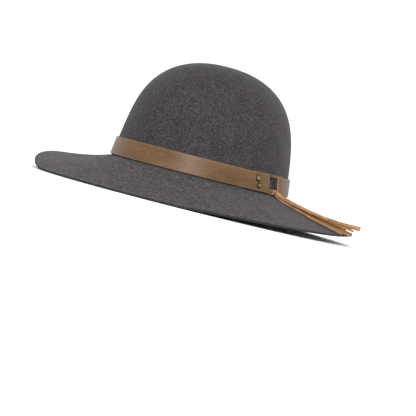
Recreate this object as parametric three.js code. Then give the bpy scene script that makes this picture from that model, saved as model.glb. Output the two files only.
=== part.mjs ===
// A round-crown, wide-brim wool felt hat with a leather band, a slotted leather loop and a suede tassel.
// Millimetres, +Z up. The front of the hat faces -Y and the wearer's left is +X.
// The hat rests on its brim: two stretches of the brim, front and rear, lie flat on Z = 0.
// Heights in the tables are measured from the break, the corner where the crown meets the brim.
import * as THREE from 'three';
import { mergeVertices } from 'three/addons/utils/BufferGeometryUtils.js';

// Driving dimensions
const HEAD_WIDE = 82.5;            // half-width of the head opening, inside the sweatband
const HEAD_LONG = 100;             // half-length of the head opening
const GAP = 0.3;                   // air left between pieces that touch
const SWEATBAND_WALL = 1.2;
const SWEATBAND_TOP = 31;
const SWEATBAND_FOOT = -4.5;
const SWEATBAND_FLARE = 1.4;
const FELT_WALL = 2.4;
const CROWN_HEIGHT = 116;
const CROWN_TAPER = 0.169;         // how much narrower the crown is at the top than at the break
const CROWN_SHOULDER = 4.3;        // power of the height in the dome's curve
const CROWN_ROUND = 2.23;          // power of the radius in the dome's curve
const CROWN_LEAN = { x: 5.4, y: -6 };  // the top sits this far left and forward of the base
const BRIM_WIDTH = 76.7;           // from the band's foot to the rim, along the felt
const BRIM_BEND = 2;               // degrees: the brim is this much steeper at the break, flatter at the rim
const BREAK_HEIGHT = 31.2;         // the break above the surface that the hat rests on
const REST_BLEND = 0.8;            // the flattened stretches run out over this height
const BREAK_FILLET = 1.2;
const BAND_WALL = 1.7;
const BAND_FOOT = 1.3;
const BAND_TOP = 19.8;
const LOOP_WALL = 1.5;
const LOOP_FOOT = 2.2;
const LOOP_TOP = 20.8;
const LOOP_RAIL = 2.5;             // height of the loop's upper and lower rails
const WRAP_WALL = 1.4;
const AROUND = 72;                 // facets round the hat

// The slope of the brim, in degrees, as waves round the azimuth: it droops front and rear
const BRIM_SLOPE = [
  { waves: 0, cosine: 18.7, sine: 0 },
  { waves: 1, cosine: 0.9, sine: 1.0 },
  { waves: 2, cosine: 6.1, sine: 2.9 },
  { waves: 3, cosine: 0.4, sine: -3.2 },
];

// Upright edges of the leather pieces, in degrees of azimuth at the break; their tops lean forward
const EDGE = {
  rampStart: 62,                   // the band starts to rise over the loop
  rampEnd: 70,
  loopFront: 73,
  windowFront: 84,
  bandFrontEnd: 87.6,
  loopRise: 89,
  loopRisen: 91.4,
  wrapFront: 91.6,
  wrapRear: 96.6,
  windowRear: 97.6,
  loopRear: 105,
};
const EDGE_LEAN = 2.4;             // degrees of azimuth that an upright edge moves forward at the band's top

const RIVETS = [
  { name: 'rivet_upper', azimuth: 74.6, height: 14.1, radius: 3.6, rise: 1.6 },
  { name: 'rivet_lower', azimuth: 75.9, height: 6.9, radius: 2.9, rise: 1.4 },
];

// The tassel from its root at the loop to its tips past the rim, in plan; lift is above the brim
const TASSEL = [
  { x: 92.6, y: 6.2, width: 6.5, thick: 4.2, lift: 0.6 },
  { x: 99, y: 8, width: 7.5, thick: 3.4, lift: 0.5 },
  { x: 110, y: 13, width: 10, thick: 2.8, lift: 0.5 },
  { x: 125, y: 20, width: 13, thick: 3.8, lift: 0.9 },
  { x: 142, y: 28, width: 17, thick: 7.2, lift: 2 },
  { x: 158, y: 35.5, width: 22, thick: 9.6, lift: 3.4 },
  { x: 175.6, y: 43.5, width: 26, thick: 11.5, lift: 3.6 },
];
const TASSEL_DROOP = 0.2;          // fall of the strands past the rim, for each millimetre out

const COLOURS = {
  felt: '#5f5b5d',
  sweatband: '#1c1a1a',
  leather: '#7a5d44',
  suede: '#a8754c',
  brass: '#8c7a55',
};

const radians = THREE.MathUtils.degToRad;
const BASE_WIDE = HEAD_WIDE + SWEATBAND_WALL + GAP + FELT_WALL;
const BASE_LONG = HEAD_LONG + SWEATBAND_WALL + GAP + FELT_WALL;
const BAND_FACE = GAP + BAND_WALL; // the band's outer face, outward of the felt

// The oval base and the crown

// Radius of the felt's outer oval at an azimuth in radians, 0 at the front and towards the wearer's left
function baseRadius(azimuth) {
  return 1 / Math.hypot(Math.sin(azimuth) / BASE_WIDE, Math.cos(azimuth) / BASE_LONG);
}

// The crown's radius at a height, as a fraction of the base
function crownScale(height) {
  const t = Math.max(0, height / CROWN_HEIGHT);
  return (1 - CROWN_TAPER * t) * (1 - t ** CROWN_SHOULDER) ** (1 / CROWN_ROUND);
}

// A point at a radius and a height on one azimuth; the crown's centre line leans with the height
function place(azimuth, radius, height) {
  const t = Math.max(0, height / CROWN_HEIGHT);
  return new THREE.Vector3(
    radius * Math.sin(azimuth) + CROWN_LEAN.x * t,
    -radius * Math.cos(azimuth) + CROWN_LEAN.y * t,
    height + BREAK_HEIGHT,
  );
}

// A point on the crown's wall, pushed outward by offset
function onWall(azimuth, height, offset) {
  return place(azimuth, baseRadius(azimuth) * crownScale(height) + offset, height);
}

// The crown's outline on one azimuth from the wall's foot to the top: straight steps, then a round dome
function crownOutline(azimuth, steps) {
  const wall = steps.wall;
  const turnHeight = 0.4;
  const heights = [];
  for (let i = 0; i < wall; i++) {
    heights.push(THREE.MathUtils.lerp(steps.foot / CROWN_HEIGHT, turnHeight, i / wall));
  }
  const turnStart = Math.asin(turnHeight ** (CROWN_SHOULDER / 2));
  for (let i = 0; i < steps.dome; i++) {
    const turn = THREE.MathUtils.lerp(turnStart, Math.PI / 2, i / steps.dome);
    heights.push(Math.sin(turn) ** (2 / CROWN_SHOULDER));
  }
  const radius = baseRadius(azimuth);
  return heights.map((t) => {
    const height = t * CROWN_HEIGHT;
    return new THREE.Vector2(radius * crownScale(height), height);
  });
}

// The same outline moved inward by the felt's thickness
function insideOf(outline) {
  return outline.map((point, i) => {
    const before = outline[Math.max(0, i - 1)];
    const after = outline[i + 1] ?? new THREE.Vector2(0, CROWN_HEIGHT);
    const along = after.clone().sub(before).normalize();
    return new THREE.Vector2(point.x - FELT_WALL * along.y, point.y + FELT_WALL * along.x);
  });
}

// The brim

function brimSlope(azimuth) {
  const degrees = BRIM_SLOPE.reduce(
    (sum, row) => sum + row.cosine * Math.cos(row.waves * azimuth) + row.sine * Math.sin(row.waves * azimuth),
    0,
  );
  return radians(degrees);
}

// A point of the brim's upper face, as radius and height, at a share of the way from the break to the rim
function brimFace(azimuth, share) {
  const slope = brimSlope(azimuth);
  const bend = radians(BRIM_BEND);
  const here = slope + bend * (1 - 2 * share);
  const reach = BRIM_WIDTH / (2 * bend);
  const radius = baseRadius(azimuth) + BAND_FACE + reach * (Math.sin(slope + bend) - Math.sin(here));
  const height = reach * (Math.cos(slope + bend) - Math.cos(here));
  return { radius, height, here };
}

// How far the surface underneath pushes a point up; it is a smooth run-out at the ends
function restLift(height) {
  const above = height + BREAK_HEIGHT;
  if (above < -REST_BLEND) {
    return -above;
  }
  if (above < REST_BLEND) {
    return (above + REST_BLEND) ** 2 / (4 * REST_BLEND) - above;
  }
  return 0;
}

// Both faces of the brim at one share: the lower one lies on Z = 0 where the felt would reach below it
function brimPair(azimuth, share) {
  const { radius, height, here } = brimFace(azimuth, share);
  const lowRadius = radius - FELT_WALL * Math.sin(here);
  const lowHeight = height - FELT_WALL * Math.cos(here);
  const lift = restLift(lowHeight);
  return {
    upper: new THREE.Vector2(radius, height + lift),
    lower: new THREE.Vector2(lowRadius, lowHeight + lift),
  };
}

// The brim's upper face under a point in plan, for pieces that lie on it; past the rim it runs on level
function brimHeightUnder(x, y) {
  const azimuth = Math.atan2(x, -y);
  const radius = Math.hypot(x, y);
  const rim = brimFace(azimuth, 1);
  if (radius >= rim.radius) {
    return rim.height - TASSEL_DROOP * (radius - rim.radius);
  }
  const slope = brimSlope(azimuth);
  const bend = radians(BRIM_BEND);
  const run = radius - baseRadius(azimuth) - BAND_FACE;
  const here = Math.asin(Math.sin(slope + bend) - (run * 2 * bend) / BRIM_WIDTH);
  return brimFace(azimuth, (1 - (here - slope) / bend) / 2).height;
}

// Mesh builders

// A closed body from rings of points; round rings close on themselves, and so may the row of rings
function skin(rings, closedRow) {
  const across = rings[0].length;
  const positions = rings.flat().flatMap((point) => point.toArray());
  const indices = [];
  const rows = closedRow ? rings.length : rings.length - 1;
  for (let i = 0; i < rows; i++) {
    const next = (i + 1) % rings.length;
    for (let j = 0; j < across; j++) {
      const k = (j + 1) % across;
      indices.push(i * across + j, next * across + j, next * across + k);
      indices.push(i * across + j, next * across + k, i * across + k);
    }
  }
  if (!closedRow) {
    closeEnd(rings[0], 0, positions, indices, true);
    closeEnd(rings.at(-1), (rings.length - 1) * across, positions, indices, false);
  }
  return solid(positions, indices);
}

// A fan of triangles from a ring's centre, to close an end
function closeEnd(ring, first, positions, indices, flipped) {
  const centre = new THREE.Vector3();
  ring.forEach((point) => centre.add(point));
  centre.divideScalar(ring.length);
  const hub = positions.length / 3;
  positions.push(...centre.toArray());
  for (let j = 0; j < ring.length; j++) {
    const k = (j + 1) % ring.length;
    if (flipped) {
      indices.push(hub, first + j, first + k);
    } else {
      indices.push(hub, first + k, first + j);
    }
  }
}

// A geometry with its faces pointing out, whichever way the rings ran
function solid(positions, indices) {
  const points = (i) => new THREE.Vector3().fromArray(positions, 3 * i);
  let volume = 0;
  for (let i = 0; i < indices.length; i += 3) {
    volume += points(indices[i]).dot(points(indices[i + 1]).cross(points(indices[i + 2])));
  }
  const order = volume > 0 ? indices : indices.toReversed();
  const geometry = new THREE.BufferGeometry();
  geometry.setAttribute('position', new THREE.Float32BufferAttribute(positions, 3));
  geometry.setIndex(order);
  const merged = mergeVertices(geometry, 1e-4);
  merged.computeVertexNormals();
  return merged;
}

function steps(count, from, to) {
  return Array.from({ length: count + 1 }, (_, i) => THREE.MathUtils.lerp(from, to, i / count));
}

// Azimuths in radians, one for each facet round the hat
const ROUND = Array.from({ length: AROUND }, (_, i) => (2 * Math.PI * i) / AROUND);

// The felt

// One radial outline of the felt body, from beside the top, down outside, round the rim and back up inside
function feltOutline(azimuth) {
  const radius = baseRadius(azimuth);
  const outside = crownOutline(azimuth, { foot: BREAK_FILLET, wall: 4, dome: 10 });
  const inside = insideOf(crownOutline(azimuth, { foot: 3, wall: 3, dome: 8 }));
  const fillet = steps(2, 0, Math.PI / 2).slice(1).map((turn) => new THREE.Vector2(
    radius + BREAK_FILLET * (1 - Math.cos(turn)),
    BREAK_FILLET * (1 - Math.sin(turn)),
  ));
  const shares = [0, 0.15, 0.33, 0.52, 0.7, 0.82, 0.89, 0.94, 0.97, 1];
  const pairs = shares.map((share) => brimPair(azimuth, share));
  const foot = pairs[0].lower;
  const corner = new THREE.QuadraticBezierCurve(
    new THREE.Vector2(foot.x + 1, foot.y - 0.3),
    new THREE.Vector2(inside[0].x, foot.y),
    inside[0],
  ).getPoints(4).slice(1, -1);
  return [
    ...outside.toReversed(),
    ...fillet,
    ...pairs.map((pair) => pair.upper),
    ...pairs.slice(1).toReversed().map((pair) => pair.lower),
    ...corner,
    ...inside,
  ];
}

function feltBody() {
  const outlines = ROUND.map((azimuth) => feltOutline(azimuth));
  const rings = outlines[0].map((_, i) => ROUND.map(
    (azimuth, j) => place(azimuth, outlines[j][i].x, outlines[j][i].y),
  ));
  return skin(rings, false);
}

// Bands that run round the crown

// The black band inside the head opening, with its lower edge turned out a little
function sweatband() {
  const out = -(FELT_WALL + GAP);
  const rows = [
    { height: SWEATBAND_TOP, offset: out - SWEATBAND_WALL },
    { height: SWEATBAND_TOP, offset: out },
    { height: 14, offset: out },
    { height: 0, offset: out },
    { height: SWEATBAND_FOOT, offset: out + SWEATBAND_FLARE },
    { height: SWEATBAND_FOOT, offset: out + SWEATBAND_FLARE - SWEATBAND_WALL },
    { height: 0, offset: out - SWEATBAND_WALL },
    { height: 14, offset: out - SWEATBAND_WALL },
  ];
  return skin(rows.map((row) => ROUND.map((azimuth) => onWall(azimuth, row.height, row.offset))), true);
}

// Degrees that an upright edge moves at a height
function edgeShift(height) {
  return -EDGE_LEAN * ((height - BAND_FOOT) / (BAND_TOP - BAND_FOOT));
}

// The band's inner face, outward of the felt: its front end rides over the loop
function bandBack(degrees) {
  const rise = THREE.MathUtils.smoothstep(degrees, 360 + EDGE.rampStart, 360 + EDGE.rampEnd);
  return GAP + rise * (LOOP_WALL + GAP);
}

// The leather strip, from its rear end beside the window right round the crown to its front end
function hatBand() {
  const start = EDGE.windowRear;
  const end = 360 + EDGE.bandFrontEnd;
  const facet = 360 / AROUND;
  const stations = [start];
  for (let degrees = Math.ceil(start / facet) * facet; degrees < end - 0.5 * facet; degrees += facet) {
    stations.push(degrees);
  }
  stations.push(end);
  const rings = stations.map((degrees, i) => {
    const isEnd = i === 0 || i === stations.length - 1;
    const at = (height, offset) => {
      const lean = isEnd ? edgeShift(height) : 0;
      return onWall(radians(degrees + lean), height, offset);
    };
    const back = bandBack(degrees);
    const middle = (BAND_FOOT + BAND_TOP) / 2;
    return [
      at(BAND_FOOT, back),
      at(BAND_FOOT, back + BAND_WALL),
      at(middle, back + BAND_WALL),
      at(BAND_TOP, back + BAND_WALL),
      at(BAND_TOP, back),
      at(middle, back),
    ];
  });
  return skin(rings, false);
}

// The loop, the wrap and the rivets

// The loop's inner face: on the felt under the band's front end, and over the band's rear end
function loopBack(degrees) {
  const rise = THREE.MathUtils.smoothstep(degrees, EDGE.loopRise, EDGE.loopRisen);
  return GAP + rise * (BAND_WALL + GAP);
}

// The loop is a flat frame round the window; each section runs across it from the outline to the window
function bandLoop() {
  const outline = frameCorners(EDGE.loopFront, EDGE.loopRear, LOOP_FOOT, LOOP_TOP);
  const window = frameCorners(EDGE.windowFront, EDGE.windowRear, LOOP_FOOT + LOOP_RAIL, LOOP_TOP - LOOP_RAIL);
  const rings = outline.map((outer, i) => {
    const inner = window[i];
    const across = steps(4, 0, 1).map((share) => ({
      degrees: THREE.MathUtils.lerp(outer.degrees, inner.degrees, share),
      height: THREE.MathUtils.lerp(outer.height, inner.height, share),
    }));
    const at = ({ degrees, height }, face) => onWall(
      radians(degrees + edgeShift(height)), height, loopBack(degrees) + face,
    );
    return [
      ...across.map((point) => at(point, 0)),
      ...across.toReversed().map((point) => at(point, LOOP_WALL)),
    ];
  });
  return skin(rings, true);
}

// Points round a rectangle of the loop, in degrees and height, with the long sides in short steps
function frameCorners(front, rear, foot, top) {
  const alongCount = 14;
  const upCount = 4;
  const along = steps(alongCount, front, rear);
  const up = steps(upCount, foot, top);
  return [
    ...along.slice(0, -1).map((degrees) => ({ degrees, height: foot })),
    ...up.slice(0, -1).map((height) => ({ degrees: rear, height })),
    ...along.toReversed().slice(0, -1).map((degrees) => ({ degrees, height: top })),
    ...up.toReversed().slice(0, -1).map((height) => ({ degrees: front, height })),
  ];
}

// The suede wound round the loop's lower rail, as a sleeve
function thongWrap() {
  const back = loopBack(EDGE.wrapFront);
  const hole = {
    low: LOOP_FOOT - GAP,
    high: LOOP_FOOT + LOOP_RAIL + GAP,
    in: back - GAP,
    out: back + LOOP_WALL + GAP,
  };
  const stations = steps(3, EDGE.wrapFront, EDGE.wrapRear).map((degrees) => radians(degrees));
  const round = (grow) => [
    { height: hole.low - grow, offset: hole.in - grow },
    { height: hole.low - grow, offset: hole.out + grow },
    { height: hole.high + grow, offset: hole.out + grow },
    { height: hole.high + grow, offset: hole.in - grow },
  ];
  const sleeve = (azimuth, grow) => round(grow).map((row) => onWall(azimuth, row.height, row.offset));
  const rings = [
    ...stations.map((azimuth) => sleeve(azimuth, WRAP_WALL)),
    ...stations.toReversed().map((azimuth) => sleeve(azimuth, 0)),
  ];
  return skin(rings, true);
}

// A low domed rivet head, standing on the band's face
function rivet({ radius, rise }) {
  const edge = 0.5;
  const profile = [new THREE.Vector2(0, 0), new THREE.Vector2(radius, 0), new THREE.Vector2(radius, edge)];
  steps(4, 0, Math.PI / 2).slice(1, -1).forEach((turn) => {
    profile.push(new THREE.Vector2(radius * Math.cos(turn), edge + (rise - edge) * Math.sin(turn)));
  });
  profile.push(new THREE.Vector2(0, rise));
  const geometry = new THREE.LatheGeometry(profile, 20);
  geometry.deleteAttribute('normal');
  geometry.deleteAttribute('uv');
  return mergeVertices(geometry, 1e-4);
}

function placeRivet(mesh, row) {
  const azimuth = radians(row.azimuth);
  const offset = bandBack(360 + row.azimuth) + BAND_WALL + GAP;
  const seat = onWall(azimuth, row.height, offset);
  const aside = onWall(azimuth + 0.01, row.height, offset).sub(seat);
  const above = onWall(azimuth, row.height + 1, offset).sub(seat);
  mesh.position.copy(seat);
  mesh.quaternion.setFromUnitVectors(new THREE.Vector3(0, 1, 0), aside.cross(above).normalize());
}

// The tassel

// The outer form of the bundle of strands: its underside follows the brim, its back is rounded
function tassel() {
  const path = new THREE.CatmullRomCurve3(TASSEL.map((row) => new THREE.Vector3(row.x, row.y, 0)));
  const stations = TASSEL.flatMap((_, i) => (i < TASSEL.length - 1 ? [i, i + 0.5] : [i]));
  const rings = stations.map((station) => {
    const share = station / (TASSEL.length - 1);
    const centre = path.getPoint(share);
    const forward = path.getTangent(share);
    const low = Math.floor(station);
    const high = Math.min(low + 1, TASSEL.length - 1);
    const size = (name) => THREE.MathUtils.lerp(TASSEL[low][name], TASSEL[high][name], station - low);
    const side = new THREE.Vector3(-forward.y, forward.x, 0).multiplyScalar(size('width') / 2);
    const at = (across, rise) => {
      const spot = centre.clone().addScaledVector(side, across);
      const floor = brimHeightUnder(spot.x, spot.y) + BREAK_HEIGHT + size('lift');
      return new THREE.Vector3(spot.x, spot.y, floor + rise * size('thick'));
    };
    return [
      at(-1, 0.25), at(-0.85, 0), at(-0.45, 0), at(0, 0), at(0.45, 0), at(0.85, 0), at(1, 0.25),
      at(0.95, 0.6), at(0.6, 0.9), at(0, 1), at(-0.6, 0.9), at(-0.95, 0.6),
    ];
  });
  return skin(rings, false);
}

// Assembly

function material(colour, roughness, metalness = 0) {
  return new THREE.MeshStandardMaterial({ color: COLOURS[colour], roughness, metalness });
}

function piece(name, geometry, look) {
  const mesh = new THREE.Mesh(geometry, look);
  mesh.name = name;
  return mesh;
}

const leather = material('leather', 0.45);
const suede = material('suede', 0.9);
const brass = material('brass', 0.35, 1);

const hat = new THREE.Group();
hat.add(piece('felt_body', feltBody(), material('felt', 0.95)));
hat.add(piece('sweatband', sweatband(), material('sweatband', 0.7)));
hat.add(piece('hat_band', hatBand(), leather));
hat.add(piece('band_loop', bandLoop(), leather));
hat.add(piece('thong_wrap', thongWrap(), suede));
hat.add(piece('tassel', tassel(), suede));
RIVETS.forEach((row) => {
  const mesh = piece(row.name, rivet(row), brass);
  placeRivet(mesh, row);
  hat.add(mesh);
});

// The origin is on the floor, in the middle of the hat's plan
const plan = new THREE.Box3().setFromObject(hat);
const model = new THREE.Group();
hat.position.set(-(plan.min.x + plan.max.x) / 2, -(plan.min.y + plan.max.y) / 2, 0);
model.add(hat);

export default model;
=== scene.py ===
# %% [markdown]
# A wide-brim wool felt hat
#
# This lesson gives a hat its looks. The real one is a round crown and a wide brim, pressed from one
# piece of heathered wool felt, with a brown leather band, a slotted leather loop and a suede tassel.
# A plain model of the hat is loaded first, as a fixed frame. It says where each piece is and how big
# it is. Every piece that is made here stands in the place of its plain piece.

# %% Load the frame
import math

import bmesh
import bpy
from mathutils import Matrix, Vector, noise


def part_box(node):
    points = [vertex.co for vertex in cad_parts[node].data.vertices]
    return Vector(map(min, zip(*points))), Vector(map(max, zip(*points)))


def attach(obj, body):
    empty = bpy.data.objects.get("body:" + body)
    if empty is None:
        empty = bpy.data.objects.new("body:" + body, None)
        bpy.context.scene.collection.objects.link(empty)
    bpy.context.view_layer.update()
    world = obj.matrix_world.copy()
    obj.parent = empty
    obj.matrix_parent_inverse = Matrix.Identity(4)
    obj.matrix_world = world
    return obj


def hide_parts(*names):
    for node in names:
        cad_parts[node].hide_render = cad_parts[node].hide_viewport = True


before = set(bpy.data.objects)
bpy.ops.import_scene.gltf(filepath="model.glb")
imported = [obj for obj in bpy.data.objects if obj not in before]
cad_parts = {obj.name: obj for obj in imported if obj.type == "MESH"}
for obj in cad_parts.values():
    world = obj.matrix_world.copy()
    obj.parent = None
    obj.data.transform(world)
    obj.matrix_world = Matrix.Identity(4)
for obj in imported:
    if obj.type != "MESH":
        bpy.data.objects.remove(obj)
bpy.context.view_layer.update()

MM = 0.001
print("nodes:", sorted(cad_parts))

# %% [markdown]
# How the hat is measured
#
# A hat is described best by going round it. A place is an azimuth, 0 at the front and 90 on the
# wearer's left, a distance outward and a height above the break, the corner where crown meets brim.
# The crown's axis and the height of the break are read from the frame: the sweatband's box is centred
# on the axis, and its lower edge hangs a known distance below the break.

# %% Sizes of the felt, in millimetres
SWEATBAND_FOOT = -4.5       # height above the break
sweatband_low, sweatband_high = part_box("sweatband")
AXIS = (sweatband_low + sweatband_high) / 2
BREAK_HEIGHT = sweatband_low.z / MM - SWEATBAND_FOOT

BASE_WIDE = 86.4            # half-width of the felt's oval at the break
BASE_LONG = 103.9           # half-length of the same oval
FELT_WALL = 2.4
CROWN_HEIGHT = 116
CROWN_TAPER = 0.169         # how much narrower the crown's wall gets on its way up
CROWN_SHOULDER = 4.3        # a higher power keeps the wall straight for longer before the dome
CROWN_ROUND = 2.23          # near 2, so that the top closes like a ball
CROWN_LEAN = Vector((5.4, -6))  # the crown's top stands 5.4 to the left and 6 to the front
BREAK_FILLET = 1.2          # radius of the felt's turn from crown to brim
BAND_FACE = 2.0             # the brim's width is counted from the leather band's outer face
BRIM_WIDTH = 76.7
BRIM_BEND = math.radians(2)  # the brim is this much steeper at the break, and flatter at the rim
REST_BLEND = 0.8            # heights over which the droop runs out on the surface underneath
print("axis, mm:", [round(value / MM, 2) for value in AXIS.xy], "break at", round(BREAK_HEIGHT, 2))

# %% Small helpers for numbers
def lerp(start, end, share):
    """The value at a share of the way from start to end."""
    return start + (end - start) * share


def smoothstep(start, end, value):
    """0 before start, 1 after end, and a soft S between them."""
    share = min(1.0, max(0.0, (value - start) / (end - start)))
    return share * share * (3 - 2 * share)


# %% The oval, the crown and places on the wall
def oval(azimuth):
    """Radius of the felt's base at an azimuth in radians."""
    return 1 / math.hypot(math.sin(azimuth) / BASE_WIDE, math.cos(azimuth) / BASE_LONG)


def crown_scale(height):
    """The crown's radius at a height, as a fraction of the base."""
    t = min(1.0, max(0.0, height / CROWN_HEIGHT))
    return (1 - CROWN_TAPER * t) * (1 - t**CROWN_SHOULDER) ** (1 / CROWN_ROUND)


def in_frame(azimuth, radius, height):
    """A point in the frame, in metres; the crown's centre line leans with the height."""
    lean = CROWN_LEAN * max(0.0, height / CROWN_HEIGHT)
    return Vector((
        AXIS.x + MM * (radius * math.sin(azimuth) + lean.x),
        AXIS.y + MM * (-radius * math.cos(azimuth) + lean.y),
        MM * (height + BREAK_HEIGHT),
    ))


def on_wall(degrees, height, offset):
    """A point on the crown's wall, pushed outward by offset."""
    azimuth = math.radians(degrees)
    return in_frame(azimuth, oval(azimuth) * crown_scale(height) + offset, height)


print("front of the break, mm:", [round(v / MM, 1) for v in on_wall(0, 0, 0)])

# %% [markdown]
# The brim's slope
#
# The brim of the real hat droops at the front and the rear and lifts a little at the sides, not
# quite alike on the left and the right. A few waves added up round the azimuth say that with one row
# each, and every point of the brim then follows from its slope. Where the brim reaches the surface
# that the hat rests on, it lies flat, and a short run-out keeps the flat part from ending in a corner.

# %% Slope and face of the brim
# Each row adds a wave in degrees, with so many waves to a turn of the hat
BRIM_SLOPE = [
    {"waves": 0, "cosine": 18.7, "sine": 0},
    {"waves": 1, "cosine": 0.9, "sine": 1.0},
    {"waves": 2, "cosine": 6.1, "sine": 2.9},
    {"waves": 3, "cosine": 0.4, "sine": -3.2},
]


def brim_slope(azimuth):
    """Downward slope of the brim, in radians."""
    degrees = 0
    for row in BRIM_SLOPE:
        turn = row["waves"] * azimuth
        degrees += row["cosine"] * math.cos(turn) + row["sine"] * math.sin(turn)
    return math.radians(degrees)


def brim_face(azimuth, share):
    """Radius, height and slope of the upper face at a share of the way to the rim."""
    slope = brim_slope(azimuth)
    here = slope + BRIM_BEND * (1 - 2 * share)
    reach = BRIM_WIDTH / (2 * BRIM_BEND)
    radius = oval(azimuth) + BAND_FACE + reach * (math.sin(slope + BRIM_BEND) - math.sin(here))
    height = reach * (math.cos(slope + BRIM_BEND) - math.cos(here))
    return radius, height, here


def rest_lift(height):
    """How far the surface underneath pushes the felt's lower face up."""
    above = height + BREAK_HEIGHT
    if above < -REST_BLEND:
        return -above
    if above < REST_BLEND:
        return (above + REST_BLEND) ** 2 / (4 * REST_BLEND) - above
    return 0.0


for degrees in (0, 90, 180, 270):
    print("slope at", degrees, "is", round(math.degrees(brim_slope(math.radians(degrees))), 1))

# %% [markdown]
# Finishes: two small functions
#
# A colour is written as the sRGB hex value that an eye or a paint program gives. Shaders add light in
# linear numbers, so one function turns it over. A second one adds a shader node, sets its values and
# links its inputs, which keeps each finish short enough to read.

# %% Colour and node helpers
def linear(hex_colour):
    """Linear RGBA of an sRGB hex colour."""
    values = [int(hex_colour[i:i + 2], 16) / 255 for i in (1, 3, 5)]
    return [v / 12.92 if v <= 0.04045 else ((v + 0.055) / 1.055) ** 2.4 for v in values] + [1.0]


def add_node(material, kind, settings=None, links=None):
    """Adds one shader node: settings are properties or input values, links are other nodes' outputs."""
    made = material.node_tree.nodes.new("ShaderNode" + kind)
    for name, value in (settings or {}).items():
        if isinstance(name, str) and hasattr(made, name):
            setattr(made, name, value)
        else:
            made.inputs[name].default_value = value
    for name, source in (links or {}).items():
        material.node_tree.links.new(source, made.inputs[name])
    return made


def new_material(name):
    """A material without nodes."""
    material = bpy.data.materials.new(name)
    material.use_nodes = True
    material.node_tree.nodes.clear()
    return material


def size_mm(size):
    """Scale of a noise or Voronoi texture whose cells are this many millimetres across."""
    return 1 / (size * MM)


MIX_A, MIX_B, MIX_RESULT = 6, 7, 2  # the colour sockets of a Mix node
print("mid grey in linear light:", round(linear("#808080")[0], 3))

# %% [markdown]
# Wool felt
#
# Felt is wool that was carded, steamed and pressed until its fibres locked. Light and dark wool are
# mixed before pressing, so the eye sees a soft speckle, a couple of millimetres across, with short
# pale fibres on top and no thread or weave. It has no gloss. Fibre ends that stand up catch light
# at a grazing angle, and that is the Principled shader's sheen. Noise in Object coordinates is right
# for it, because felt has no direction. The brim is stiffened and ironed flat. Its top is painted a
# little paler than the crown, a painted light for the light it catches, so the mesh carries a value
# that says how far out on the brim each place is.

# %% Felt finishes
HEATHER = 1.4          # the speckle of mixed wool, in mm across
HEATHER_WEIGHT = 1.15
CLUMP = 4.2            # tufts where one wool gathered, in mm across
TUFTS = (0.3, 0.8)     # weight of the tufts on the crown, and on the brim, where ironing spreads them
CLOUD = 18             # slow change of tone over the hat, in mm
CLOUD_WEIGHT = 0.12
WOOLS = (0.52, 0.81)   # the weighted sums that give pure dark wool and pure light wool
FIBRE = 0.75           # fine nap, in mm; real fibres are finer, drawn as coarse as shows
BRIM_LIGHT_AND_TUFTS = "brim_light_and_tufts"      # a value on the mesh: 1 on the brim, which gets heavier tufts and a painted light
PAINTED_BRIM_LIGHT = 1.4      # painted light: how much paler the brim is painted, for the light its top catches


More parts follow.
